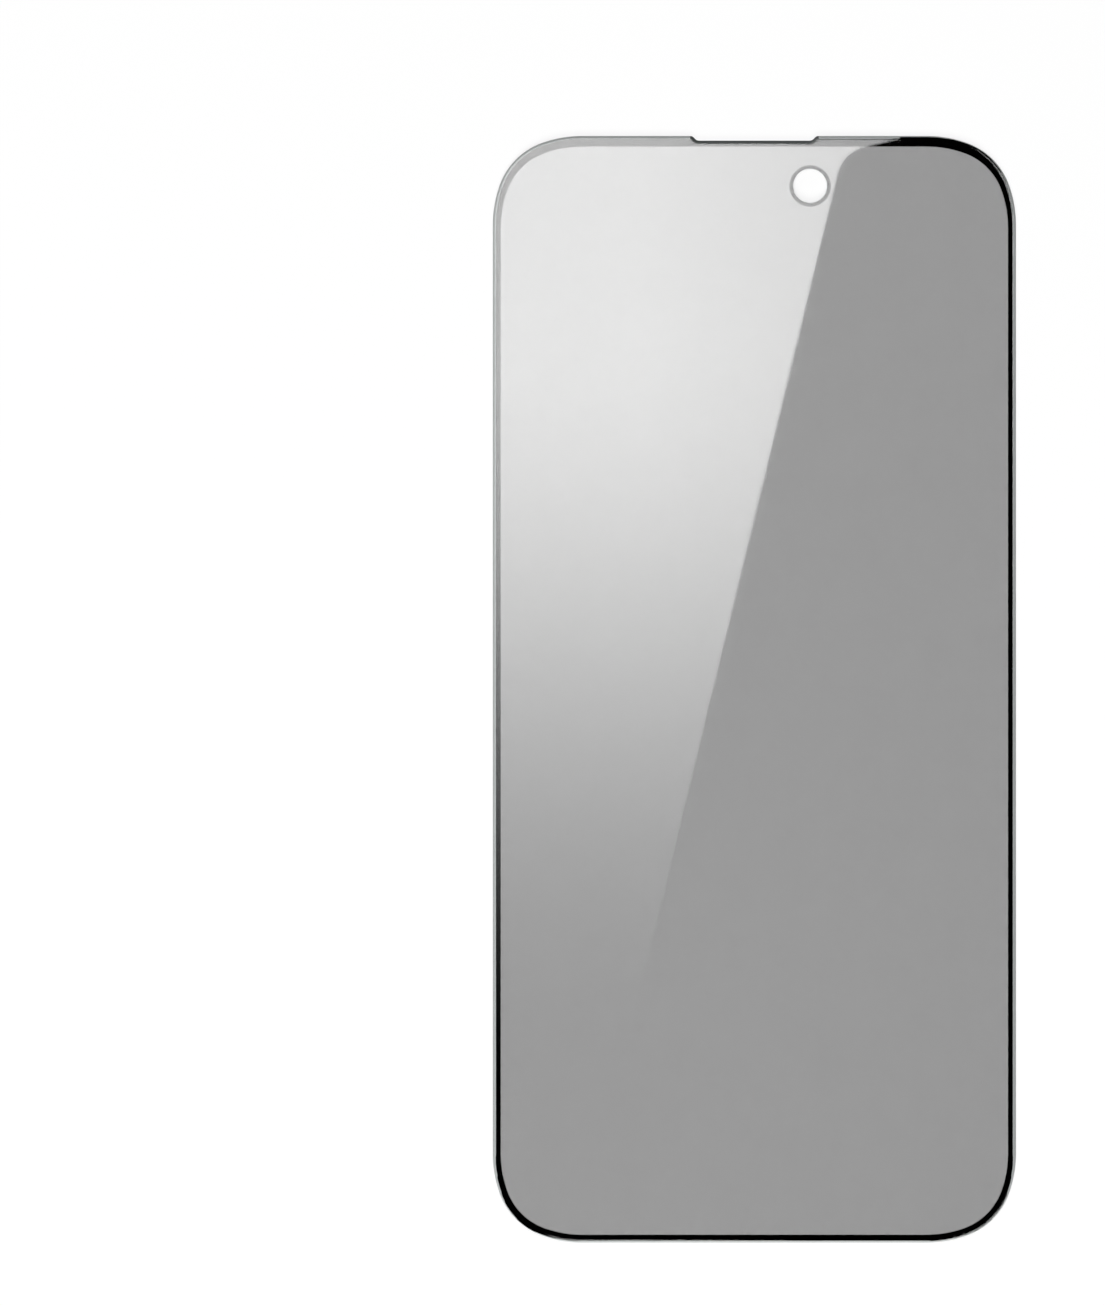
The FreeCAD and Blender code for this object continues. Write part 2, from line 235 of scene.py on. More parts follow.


# %% [markdown]
# ## The cover glass
# The real sheet is cut by a wheel, its rim is rounded on the front side only, which the trade
# calls a 2.5D edge, and it is then tempered. The CAD solid has that edge as a slope with two
# fillets. Here it has to catch light as one smooth curve, so it is modelled again. A bevel
# cuts as deep as it is wide, but this edge is twice as wide as it is deep. So the sheet is
# raised too tall, bevelled evenly, and pressed down to its real thickness afterwards. The run
# to the right of the notch is first cut in short lengths, where the rim's painted highlight ends.

# %% Raise the sheet and round its front edge
EDGE_WIDTH = 0.537
EDGE_DEPTH = 0.256
EDGE_STEPS = 9
EDGE_PROFILE = 0.42
STRETCH = EDGE_WIDTH / EDGE_DEPTH
BACK_GAP = 0.004
SHEET = GLASS_FRONT - GLASS_BACK - BACK_GAP
RUN_CUTS = 15
LONG_RUN = 5.0


def right_of_notch(edge):
    """Whether an edge is the long straight run from the notch to the right corner."""
    on_top = all(abs(v.co.y - HALF_LENGTH) < NEAR and v.co.x > 0 for v in edge.verts)
    return on_top and edge.calc_length() > LONG_RUN


glass = draw_outline("polished_cover_glass", 0.0)
raise_outline(glass, SHEET * STRETCH)
pick(glass, "EDGE", right_of_notch)
bpy.ops.mesh.subdivide(number_cuts=RUN_CUTS)
edges = pick(glass, "EDGE", lies_at(SHEET * STRETCH))
bpy.ops.mesh.bevel(
    offset=EDGE_WIDTH,
    segments=EDGE_STEPS,
    profile=EDGE_PROFILE,
    affect="EDGES",
    clamp_overlap=False,
)
print("rounded", edges, "edges of the front")

# %% [markdown]
# The front face must stay flat to the eye, or its reflections would swim. Smooth shading bends
# the light on any face that touches the curve, so a narrow inset ring is laid inside the curve
# first. It takes up the bend, and the field inside it stays truly flat. After that the sheet
# is pressed to its thickness, and the sharp edge at the back is broken.

# %% Lay the flat ring, press the sheet and break the back edge
FLAT_RING = 0.05
EDGE_BREAK = 0.04

pick(glass, "FACE", lies_at(SHEET * STRETCH))
bpy.ops.mesh.inset(thickness=FLAT_RING)
bpy.ops.mesh.select_all(action="SELECT")
bpy.ops.transform.resize(value=(1.0, 1.0, 1.0 / STRETCH), center_override=(0.0, 0.0, 0.0))
pick(glass, "EDGE", lies_at(0.0))
bpy.ops.mesh.bevel(offset=EDGE_BREAK, segments=1, affect="EDGES", clamp_overlap=False)
bpy.ops.mesh.select_all(action="SELECT")
bpy.ops.transform.translate(value=(0.0, 0.0, GLASS_BACK + BACK_GAP))
bpy.ops.object.mode_set(mode="OBJECT")
print("glass mesh:", len(glass.data.polygons), "faces")

# %% [markdown]
# ## The camera hole
# On the real glass a diamond drill cuts the hole and a cone breaks both of its rims. A cutter
# of the same shape does both at once here: a cylinder as long as the straight wall, with each
# end extruded outwards and widened to a cone. A Boolean modifier then takes it out of the glass.

# %% Make the cutter and drill the glass
HOLE_STEPS = 96
CONE = 0.12


def make_cutter(radius, low, high, cone):
    """A round cutter whose ends widen at 45 degrees beyond low and high."""
    bpy.ops.object.select_all(action="DESELECT")
    middle = (CAMERA_CENTER[0], CAMERA_CENTER[1], (low + high) / 2)
    bpy.ops.mesh.primitive_cylinder_add(
        vertices=HOLE_STEPS, radius=radius, depth=high - low, location=middle
    )
    cutter = bpy.context.object
    bpy.ops.object.transform_apply(location=True, rotation=False, scale=False)
    bpy.ops.object.mode_set(mode="EDIT")
    widen = (radius + cone) / radius
    for end, step in ((high, cone), (low, -cone)):
        pick(cutter, "FACE", lies_at(end))
        bpy.ops.mesh.extrude_region_move(TRANSFORM_OT_translate={"value": (0.0, 0.0, step)})
        pivot = (CAMERA_CENTER[0], CAMERA_CENTER[1], end + step)
        bpy.ops.transform.resize(value=(widen, widen, 1.0), center_override=pivot)
    bpy.ops.mesh.select_all(action="SELECT")
    bpy.ops.mesh.normals_make_consistent(inside=False)
    bpy.ops.object.mode_set(mode="OBJECT")
    return cutter


def cut_with(piece, cutter, operation, solver):
    """Applies a Boolean to the piece and removes the cutter."""
    bpy.ops.object.select_all(action="DESELECT")
    piece.select_set(True)
    apply_modifier(piece, "BOOLEAN", object=cutter, operation=operation, solver=solver)
    bpy.data.meshes.remove(cutter.data)


drill_low = GLASS_BACK + BACK_GAP + EDGE_BREAK
drill = make_cutter(CAMERA_RADIUS, drill_low, GLASS_FRONT - EDGE_BREAK, CONE)
cut_with(glass, drill, "DIFFERENCE", "EXACT")
print("drilled glass:", len(glass.data.polygons), "faces")

# %% [markdown]
# The finished sheet is brought from millimetres to metres. The scale is applied, so that the
# object itself stays unscaled at the origin, as a CAD node does. Faces that meet at a small
# angle are shaded as one curve, and the sharper edges of the back and the hole stay crisp.

# %% Bring the glass to metres and smooth it
SMOOTH_LIMIT = 38.0


def finish_piece(piece):
    """Scales a piece from millimetres to metres and puts it on the part."""
    bpy.ops.object.select_all(action="DESELECT")
    piece.select_set(True)
    bpy.context.view_layer.objects.active = piece
    piece.scale = (MM, MM, MM)
    bpy.ops.object.transform_apply(location=False, rotation=False, scale=True)
    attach(piece, "root")


finish_piece(glass)
bpy.ops.object.shade_smooth_by_angle(angle=math.radians(SMOOTH_LIMIT))
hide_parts("cover_glass")
print("glass size in mm:", [round(side / MM, 3) for side in glass.dimensions])

# %% [markdown]
# ## The louvres
# What makes it a privacy protector is inside the film: upright black slats, so close together
# that the eye takes them for a grey tint from the front. From the side each slat hides the gap
# to the next, and the film goes dark. A shader could only paint that, so the slats are real.
# One slat is modelled, a tapered bar as it leaves its mould, and an Array modifier repeats it.

# %% Model one slat and repeat it
SLAT_PITCH = 0.055
SLAT_FOOT = 0.007
SLAT_TIP = 0.005
SLAT_HEIGHT = 0.090
BASE_FILM = 0.022
BARE_SIDE = 0.60
SLAT_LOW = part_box("privacy_film")[0].z / MM + BASE_FILM
SLAT_HIGH = SLAT_LOW + SLAT_HEIGHT
SLAT_REACH = HALF_WIDTH - BARE_SIDE
SLAT_COUNT = int(2 * SLAT_REACH / SLAT_PITCH) + 1

bpy.ops.object.select_all(action="DESELECT")
slat_place = (-SLAT_PITCH * (SLAT_COUNT - 1) / 2, 0.0, (SLAT_LOW + SLAT_HIGH) / 2)
bpy.ops.mesh.primitive_cube_add(size=1.0, location=slat_place)
louvres = bpy.context.object
louvres.name = "privacy_louvres"
louvres.data.name = "privacy_louvres"
louvres.scale = (SLAT_FOOT, 2 * HALF_LENGTH, SLAT_HIGH - SLAT_LOW)
bpy.ops.object.transform_apply(location=True, rotation=False, scale=True)
bpy.ops.object.mode_set(mode="EDIT")
pick(louvres, "FACE", lies_at(SLAT_HIGH))
bpy.ops.transform.resize(value=(SLAT_TIP / SLAT_FOOT, 1.0, 1.0), center_override=slat_place)
bpy.ops.object.mode_set(mode="OBJECT")
apply_modifier(
    louvres,
    "ARRAY",
    count=SLAT_COUNT,
    use_relative_offset=False,
    use_constant_offset=True,
    constant_offset_displace=(SLAT_PITCH, 0.0, 0.0),
)
print("slats:", SLAT_COUNT, "one every", SLAT_PITCH, "mm")

# %% [markdown]
# The film is die-cut after it is made, so the slats end wherever its outline and its hole fall.
# The same pen draws that outline a little smaller, the same cutter makes its hole, and a Boolean
# keeps only the part of each slat inside it.

# %% Die-cut the slats
SLAT_INSET = 0.56
HOLE_SPARE = 0.08

die = draw_outline("film_die", SLAT_INSET)
raise_outline(die, GLASS_FRONT)
bpy.ops.object.mode_set(mode="OBJECT")
die_drill = make_cutter(CAMERA_RADIUS + HOLE_SPARE, -CONE, GLASS_FRONT + CONE, CONE)
cut_with(die, die_drill, "DIFFERENCE", "EXACT")
cut_with(louvres, die, "INTERSECT", "MANIFOLD")
finish_piece(louvres)
print("die-cut slats:", len(louvres.data.polygons), "faces")

# %% [markdown]
# ## The silicone back
# The adhesive is a coat on the back of the film, cut a little smaller so that its edge stays
# clean. The CAD layer touches the film face to face. Two clear faces in one place confuse the
# renderer, so this coat is modelled again, a hair thinner, with the soft rounded edge that
# a poured coat has.

# %% Pour the silicone coat
COAT_INSET = 0.62
COAT_GAP = 0.004
COAT_ROUND = 0.015
COAT_STEPS = 3
HOLE_BREAK = 0.04
coat_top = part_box("adhesive_layer")[1].z / MM - COAT_GAP

coat_piece = draw_outline("silicone_back", COAT_INSET)
raise_outline(coat_piece, coat_top)
pick(coat_piece, "EDGE", lies_at(coat_top))
bpy.ops.mesh.bevel(offset=COAT_ROUND, segments=COAT_STEPS, affect="EDGES", clamp_overlap=False)
bpy.ops.object.mode_set(mode="OBJECT")
coat_drill = make_cutter(CAMERA_RADIUS + HOLE_BREAK, -CONE, coat_top + CONE, CONE)
cut_with(coat_piece, coat_drill, "DIFFERENCE", "EXACT")
finish_piece(coat_piece)
bpy.ops.object.shade_smooth_by_angle(angle=math.radians(SMOOTH_LIMIT))
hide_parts("adhesive_layer")
print("coat mesh:", len(coat_piece.data.polygons), "faces")

# %% [markdown]
# ## Colours and nodes
# Colours are written as the hex values that a paint program shows, and one function turns them
# to the linear light that shaders work in. One more adds a node with its settings and links.

# %% Two helpers for materials


def colour(code):
    """A hex colour as linear red, green, blue and alpha, by the curve of the sRGB standard."""
    parts = [int(code[at:at + 2], 16) / 255 for at in (0, 2, 4)]
    light = [p / 12.92 if p <= 0.04045 else ((p + 0.055) / 1.055) ** 2.4 for p in parts]
    return (*light, 1.0)


def add_node(tree, kind, inputs, **settings):
    """Adds one node. An input takes a value, or a link where it is given a socket."""
    made = tree.nodes.new(kind)
    for name, value in settings.items():
        setattr(made, name, value)
    for key, value in inputs.items():
        if isinstance(value, bpy.types.NodeSocket):
            tree.links.new(value, made.inputs[key])
        else:
            made.inputs[key].default_value = value
    return made


def new_material(name):
    """An empty node material and its tree."""
    material = bpy.data.materials.new(name)
    material.use_nodes = True
    material.node_tree.nodes.clear()
    return material, material.node_tree


def show(tree, shader):
    """Links a shader to the material's output."""
    add_node(tree, "ShaderNodeOutputMaterial", {"Surface": shader})


def per_metre(size_mm):
    """The scale that makes one step of a pattern the given size."""
    return 1.0 / (size_mm * MM)


print("white is", colour("FFFFFF"))

# %% [markdown]
# ## Tempered glass
# The sheet is chemically tempered glass with polished faces. It is almost colourless and bends
# light like window glass, with an index of 1.51. What the eye gets is the reflection: sharp, and
# faint except at a slant. Hands and wiping leave the oil-repelling coat very slightly uneven, so
# the roughness drifts over patches about a finger wide. Lamps have to reach the layers below,
# so shadow rays pass straight through.

# %% Polished glass
SMEAR = 16.0
SMEAR_SPAN = (0.3, 0.7)
WIPED = 0.008
SMEARED = 0.016
GLASS_INDEX = 1.51
GLASS_CLEAR = "FCFCFC"

polished, tree = new_material("tempered_glass_polished")
place = add_node(tree, "ShaderNodeTexCoord", {}).outputs["Object"]
smear = add_node(tree, "ShaderNodeTexNoise", {"Vector": place, "Scale": per_metre(SMEAR), "Detail": 2.0})
wipe = add_node(
    tree,
    "ShaderNodeMapRange",
    {
        "Value": smear.outputs["Fac"],
        "From Min": SMEAR_SPAN[0],
        "From Max": SMEAR_SPAN[1],
        "To Min": WIPED,
        "To Max": SMEARED,
    },
)
sheet = add_node(
    tree,
    "ShaderNodeBsdfPrincipled",
    {
        "Base Color": colour(GLASS_CLEAR),
        "Roughness": wipe.outputs["Result"],
        "IOR": GLASS_INDEX,
        "Transmission Weight": 1.0,
    },
)
clear = add_node(tree, "ShaderNodeBsdfTransparent", {"Color": colour(GLASS_CLEAR)})
path = add_node(tree, "ShaderNodeLightPath", {})
through = add_node(
    tree,
    "ShaderNodeMixShader",
    {0: path.outputs["Is Shadow Ray"], 1: sheet.outputs[0], 2: clear.outputs[0]},
)
show(tree, through.outputs[0])
glass.data.materials.append(polished)
print("made", polished.name)

# %% [markdown]
# ## Ground rim
# The rounded edge is ground with fine diamond grit and then only brushed. Under its last thin
# shine it stays satin: it scatters light, and that is why the rim shows as a pale line that is
# brighter towards the lamp. Where ink lies behind the rim it swallows that light, and only the
# shine is left. So the satin goes on the faces with no ink below them, which a ray cast straight
# down can tell. Along the top left the satin covers all of the rim, ink or not, up to a slanting
# end in the run right of the notch: there the pale rim is a painted highlight of the panel's glare.
# The grit leaves a fine speckle, drawn here coarser than the real few hundredths of a millimetre
# so that it can show at all. The notch is ground glass with no shine, and its darker grey is
# painted shade for the dark line that falls along it.

# %% Ground glass
GRIT = 0.12
GRIT_DEPTH = 0.03


def ground_glass(name, dark, pale, shine):
    """Ground glass with a speckle between two colours and a share of brushed shine."""
    material, tree = new_material(name)
    place = add_node(tree, "ShaderNodeTexCoord", {}).outputs["Object"]
    grit = add_node(
        tree, "ShaderNodeTexNoise", {"Vector": place, "Scale": per_metre(GRIT), "Detail": 3.0}
    )
    speckle = add_node(
        tree,
        "ShaderNodeMix",
        {"Factor": grit.outputs["Fac"], "A": colour(dark), "B": colour(pale)},
        data_type="RGBA",
    )
    relief = add_node(
        tree,
        "ShaderNodeBump",
        {"Height": grit.outputs["Fac"], "Strength": 0.25, "Distance": GRIT_DEPTH * MM},
    )
    shader = add_node(
        tree,
        "ShaderNodeBsdfPrincipled",
        {
            "Base Color": speckle.outputs["Result"],
            "Roughness": 0.45,
            "IOR": GLASS_INDEX,
            "Coat Weight": shine,
            "Coat Roughness": 0.03,
            "Normal": relief.outputs["Normal"],
        },
    )
    show(tree, shader.outputs[0])
    return material


# The satin material also serves as a painted highlight along the top left of the rim.
glass.data.materials.append(ground_glass("glass_edge_satin_and_painted_highlight", "C4C9C8", "EDF1F0", 1.0))
# The notch's dark grey ground glass is painted shade for the dark line that falls along it.
glass.data.materials.append(ground_glass("glass_notch_ground_painted_shade", "444847", "636766", 0.0))
print("finishes of the glass:", ", ".join(glass.data.materials.keys()))

# %% Lay the satin on the rim
SATIN_AND_HIGHLIGHT_SLOT = 1
SHADED_NOTCH_SLOT = 2
SATIN_LIMIT = 0.985
NOTCH_REACH = (NOTCH_HALF_WIDTH + NOTCH_RADIUS) * MM
NOTCH_FLOOR = (HALF_LENGTH - NOTCH_DEPTH - EDGE_WIDTH) * MM
# The top-left stretch of the rim, up to a slanting end, where satin over ink is a painted highlight.
PAINTED_HIGHLIGHT_FROM = (HALF_LENGTH - EASING_RADIUS) * MM
PAINTED_HIGHLIGHT_END_INNER = 18.8 * MM
PAINTED_HIGHLIGHT_END_OUTER = 22.0 * MM
RIM_INNER = (HALF_LENGTH - EDGE_WIDTH) * MM
DOWN = (0.0, 0.0, -1.0)
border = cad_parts["border_print"]


def ground_or_painted_highlight(face):
    """Whether a rim face has no ink below it, or lies at the top left, where the pale satin is a painted
    highlight.
    """
    outwards = max(0.0, (face.center.y - RIM_INNER) / (EDGE_WIDTH * MM))
    painted_highlight_end = PAINTED_HIGHLIGHT_END_INNER + outwards * (PAINTED_HIGHLIGHT_END_OUTER - PAINTED_HIGHLIGHT_END_INNER)
    in_painted_highlight = face.center.x < painted_highlight_end and face.center.y > PAINTED_HIGHLIGHT_FROM
    return in_painted_highlight or not border.ray_cast(face.center, DOWN)[0]


rim_faces = [face for face in glass.data.polygons if abs(face.normal.z) < SATIN_LIMIT]
ground_faces = [face for face in rim_faces if ground_or_painted_highlight(face)]
for face in ground_faces:
    # Rim faces in the notch take the darker grey, a painted shade.
    in_notch = abs(face.center.x) < NOTCH_REACH and face.center.y > NOTCH_FLOOR
    face.material_index = SHADED_NOTCH_SLOT if in_notch else SATIN_AND_HIGHLIGHT_SLOT
print("rim faces:", len(rim_faces), "of which ground:", len(ground_faces))

# %% [markdown]
# ## Black ink
# The border and the ring are screen-printed on the back of the glass. Seen through it they are
# a deep even black. The ink takes a trace of the screen's weave as it dries, a grid about a
# tenth of a millimetre across. It is drawn at a quarter of a millimetre, so that a close view
# can show it as a slight change of gloss.

# %% Screen-printed ink
WEAVE = 0.25
WEAVE_DEPTH = 0.0125

ink, tree = new_material("screen_printed_black_ink")
place = add_node(tree, "ShaderNodeTexCoord", {}).outputs["Object"]
threads = [
    add_node(
        tree,
        "ShaderNodeTexWave",
        {"Vector": place, "Scale": per_metre(WEAVE) / math.tau, "Distortion": 0.4},
        bands_direction=axis,
    ).outputs["Fac"]
    for axis in ("X", "Y")
]
weave = add_node(tree, "ShaderNodeMath", {0: threads[0], 1: threads[1]}, operation="MULTIPLY")
gloss = add_node(
    tree,
    "ShaderNodeMapRange",
    {"Value": weave.outputs[0], "To Min": 0.42, "To Max": 0.55},
)
relief = add_node(
    tree,
    "ShaderNodeBump",
    {"Height": weave.outputs[0], "Strength": 0.15, "Distance": WEAVE_DEPTH * MM},
)
pigment = add_node(
    tree,
    "ShaderNodeMix",
    {"Factor": weave.outputs[0], "A": colour("020202"), "B": colour("040404")},
    data_type="RGBA",
)
printed = add_node(
    tree,
    "ShaderNodeBsdfPrincipled",
    {
        "Base Color": pigment.outputs["Result"],
        "Roughness": gloss.outputs["Result"],
        "Specular IOR Level": 0.0,
        "Normal": relief.outputs["Normal"],
    },
)
show(tree, printed.outputs[0])


def dress(node_name, material):
    """Gives a CAD node one material in place of its plain one."""
    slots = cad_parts[node_name].data.materials
    slots.clear()
    slots.append(material)


for node_name in ("border_print", "camera_ring_print"):
    dress(node_name, ink)
print("made", ink.name)

# %% [markdown]
# ## Privacy film
# The film is polyester with the slats inside, tinted a neutral grey. It is bonded to the glass
# without air, so it has almost no shine of its own. Light passes straight through and loses
# more than half on the way. The tint is split over the two faces, and each lets through the
# root of the whole. Polyester is drawn out in one direction as it is made, which leaves streaks
# along it that differ by about one part in a hundred.

# %% Grey film
STREAK_WIDTH = 2.5
STREAK_LENGTH = 60.0
FILM_HAZE = 0.02

film, tree = new_material("polyester_louvre_film_grey")
place = add_node(tree, "ShaderNodeTexCoord", {}).outputs["Object"]
drawn = add_node(
    tree,
    "ShaderNodeMapping",
    {"Vector": place, "Scale": (per_metre(STREAK_WIDTH), per_metre(STREAK_LENGTH), 1.0)},
)
streaks = add_node(tree, "ShaderNodeTexNoise", {"Vector": drawn.outputs[0], "Scale": 1.0, "Detail": 2.0})
tint = add_node(
    tree,
    "ShaderNodeMix",
    {"Factor": streaks.outputs["Fac"], "A": colour("D8D8D8"), "B": colour("D9D9D9")},
    data_type="RGBA",
)
see_through = add_node(tree, "ShaderNodeBsdfTransparent", {"Color": tint.outputs["Result"]})
haze = add_node(
    tree,
    "ShaderNodeBsdfPrincipled",
    {"Base Color": colour("3A3A3B"), "Roughness": 0.35, "Specular IOR Level": 0.0},
)
layer = add_node(
    tree,
    "ShaderNodeMixShader",
    {0: FILM_HAZE, 1: see_through.outputs[0], 2: haze.outputs[0]},
)
show(tree, layer.outputs[0])
dress("privacy_film", film)
print("made", film.name)

# %% [markdown]
# ## Slats
# The slats are resin filled with carbon black, cast into grooves. They are matt and as dark as
# soot, with a slight unevenness along their length where the resin flowed. The Boolean left them
# an empty material slot, which would show as plain grey, so the slots are cleared first.

# %% Carbon-black resin
FLOW = 0.8

slat_black, tree = new_material("carbon_black_resin")
place = add_node(tree, "ShaderNodeTexCoord", {}).outputs["Object"]
flow = add_node(tree, "ShaderNodeTexNoise", {"Vector": place, "Scale": per_metre(FLOW), "Detail": 2.0})
soot = add_node(
    tree,
    "ShaderNodeMix",
    {"Factor": flow.outputs["Fac"], "A": colour("080808"), "B": colour("101011")},
    data_type="RGBA",
)
cast = add_node(
    tree,
    "ShaderNodeBsdfPrincipled",
    {"Base Color": soot.outputs["Result"], "Roughness": 0.7, "Specular IOR Level": 0.2},
)
show(tree, cast.outputs[0])
louvres.data.materials.clear()
louvres.data.materials.append(slat_black)
print("made", slat_black.name)

# %% [markdown]
# ## Silicone adhesive
# The back carries a clear coat of soft silicone, a twentieth of a millimetre thick. It is glossy
# and levels itself as it cures, which leaves a very shallow orange-peel surface with waves about
# two millimetres apart. It hardly dims what is behind it.

# %% Clear silicone
PEEL = 2.0
PEEL_DEPTH = 0.02
SILICONE_SHEEN = 0.03

silicone, tree = new_material("silicone_adhesive_clear")
place = add_node(tree, "ShaderNodeTexCoord", {}).outputs["Object"]
peel = add_node(tree, "ShaderNodeTexNoise", {"Vector": place, "Scale": per_metre(PEEL), "Detail": 1.0})
relief = add_node(
    tree,
    "ShaderNodeBump",
    {"Height": peel.outputs["Fac"], "Strength": 0.2, "Distance": PEEL_DEPTH * MM},
)
coat = add_node(
    tree,
    "ShaderNodeBsdfPrincipled",
    {"Base Color": colour("E6E8E8"), "Roughness": 0.12, "IOR": 1.41, "Normal": relief.outputs["Normal"]},
)
open_coat = add_node(tree, "ShaderNodeBsdfTransparent", {"Color": colour("FBFBFB")})
tacky = add_node(
    tree,
    "ShaderNodeMixShader",
    {0: SILICONE_SHEEN, 1: open_coat.outputs[0], 2: coat.outputs[0]},
)
show(tree, tacky.outputs[0])
coat_piece.data.materials.append(silicone)
print("made", silicone.name)

# %% [markdown]
# ## Camera
# The photograph looks straight down on the sheet, from so far away that the edges show no
# perspective. One millimetre covers 7.1 of its pixels, which gives the height of the frame, and
# the sheet lies to the right of the middle and a little below it.

# %% Camera
FRAME_HEIGHT = 1306
PIXELS_PER_MM = 7.1
PIXELS_RIGHT = 201.9
PIXELS_BELOW = 36.3
SHEET_RIGHT = PIXELS_RIGHT / PIXELS_PER_MM
SHEET_BELOW = PIXELS_BELOW / PIXELS_PER_MM
CAMERA_HEIGHT = 2000.0
SENSOR = 36.0

camera_data = bpy.data.cameras.new("camera")
camera = bpy.data.objects.new("camera", camera_data)
bpy.context.scene.collection.objects.link(camera)
camera.location = (-SHEET_RIGHT * MM, SHEET_BELOW * MM, CAMERA_HEIGHT * MM)
camera_data.sensor_width = SENSOR
camera_data.lens = SENSOR * (CAMERA_HEIGHT - GLASS_FRONT) * PIXELS_PER_MM / FRAME_HEIGHT
bpy.context.scene.camera = camera
bpy.context.scene.view_settings.view_transform = "Standard"
print(f"lens {camera_data.lens:.1f} mm")

# %% [markdown]
# ## Floor and world
# The background is white. A floor that is white only by lamp light would need lamps so strong
# that they spoil the object, so most of its white is given to the rays that look at it: from the
# camera, in reflections and through the glass. The rest is ordinary lit floor, which keeps the
# shadow. The world is white to the camera too. In reflections it is dark overhead, like the
# black cloth that a photographer hangs above glass, and lighter towards the horizon.

# %% Floor
FLOOR_DROP = 0.01
FLOOR_SIZE = 6.0
GLOW_SEEN = 0.86


def light_paths(tree):
    """Whether a ray comes from the camera, and whether it was mirrored or passed through glass."""
    path = add_node(tree, "ShaderNodeLightPath", {}).outputs
    by_glass = add_node(
        tree,
        "ShaderNodeMath",
        {0: path["Is Glossy Ray"], 1: path["Is Transmission Ray"]},
        operation="MAXIMUM",
    )
    return path["Is Camera Ray"], by_glass.outputs[0]


bpy.ops.object.select_all(action="DESELECT")
bpy.ops.mesh.primitive_plane_add(size=FLOOR_SIZE, location=(0.0, 0.0, -FLOOR_DROP * MM))
floor = bpy.context.object
floor.name = "floor"
paper, tree = new_material("white_paper_floor")
from_camera, by_glass = light_paths(tree)
looked_at = add_node(tree, "ShaderNodeMath", {0: from_camera, 1: GLOW_SEEN}, operation="MULTIPLY")
white = add_node(tree, "ShaderNodeMath", {0: looked_at.outputs[0], 1: by_glass}, operation="MAXIMUM")
glow = add_node(tree, "ShaderNodeEmission", {"Color": colour("FFFFFF"), "Strength": white.outputs[0]})
matt = add_node(tree, "ShaderNodeBsdfDiffuse", {"Color": colour("8C8C8C")})
both = add_node(tree, "ShaderNodeAddShader", {0: glow.outputs[0], 1: matt.outputs[0]})
show(tree, both.outputs[0])
floor.data.materials.append(paper)
print("floor", FLOOR_SIZE, "m wide")

# %% World
FILL = 0.08
HORIZON = 0.80
CLOTH_EDGE = 0.0
CLOTH_FULL = 0.50

world = bpy.data.worlds.new("studio")
bpy.context.scene.world = world
world.use_nodes = True
tree = world.node_tree
tree.nodes.clear()
direction = add_node(tree, "ShaderNodeTexCoord", {}).outputs["Generated"]
upward = add_node(tree, "ShaderNodeSeparateXYZ", {0: direction}).outputs["Z"]
cloth = add_node(
    tree,
    "ShaderNodeMapRange",
    {"Value": upward, "From Min": CLOTH_EDGE, "From Max": CLOTH_FULL, "To Min": HORIZON, "To Max": 0.0},
    interpolation_type="SMOOTHSTEP",
)
from_camera, by_glass = light_paths(tree)
unseen = add_node(tree, "ShaderNodeMix", {"Factor": by_glass, "A": FILL, "B": cloth.outputs["Result"]})
level = add_node(
    tree,
    "ShaderNodeMath",
    {0: from_camera, 1: unseen.outputs["Result"]},
    operation="MAXIMUM",
)
sky = add_node(tree, "ShaderNodeBackground", {"Color": colour("FFFFFF"), "Strength": level.outputs[0]})
add_node(tree, "ShaderNodeOutputWorld", {"Surface": sky.outputs[0]})
print("world fill", FILL)

# %% [markdown]
# ## Lamps
# One large soft lamp stands low on the side of the bottom edge. The flat glass sends its light
# away from the camera, and only the satin rim shows it: bright along the bottom, dim along the
# sides. A weaker one, lower still, stands beyond the top edge and a little to the left, so that
# the rim there doesn't go dark. Both are left out of reflections, so that the glass shows the
# panel alone.

# %% Two soft lamps
LAMP_DISTANCE = 1.5
LAMP_SIZE = (0.9, 0.6)


def hang_lamp(name, watts, rise, turn):
    """Hangs a soft lamp that looks at the sheet, turned from the bottom edge's side."""
    lamp_data = bpy.data.lights.new(name, "AREA")
    lamp_data.shape = "RECTANGLE"
    lamp_data.size, lamp_data.size_y = LAMP_SIZE
    lamp_data.energy = watts
    lamp = bpy.data.objects.new(name, lamp_data)
    bpy.context.scene.collection.objects.link(lamp)
    height = math.sin(math.radians(rise))
    flat = on_circle((0.0, 0.0), math.cos(math.radians(rise)), turn - RIGHT_ANGLE)
    lamp.location = [LAMP_DISTANCE * part for part in (*flat, height)]
    lamp.rotation_euler = (-lamp.location).to_track_quat("-Z", "Y").to_euler()
    lamp.visible_camera = False
    lamp.visible_glossy = False
    lamp.visible_transmission = False
    print(name, "at", [round(part, 2) for part in lamp.location])


hang_lamp("key_lamp", watts=19.0, rise=32.0, turn=-6.0)
hang_lamp("top_lamp", watts=7.5, rise=12.0, turn=-160.0)

# %% [markdown]
# ## Light panel
# Across the upper left of the glass lies the reflection of a bright panel: its right side is
# a straight slanting edge that rounds off at the top, and it fades towards the bottom. A panel
# hung above the glass gives that. Its outline is drawn with the same pen where it should show
# on the glass, and then enlarged about the camera's mirror point to the height where it hangs.
# It goes on beyond the glass at the top and the left, where only the sloping rim mirrors it,
# and fades out there, so that no hard end shows from another side. Its right side, which is
# sharp on the glass, opens into a soft fan for the same reason.

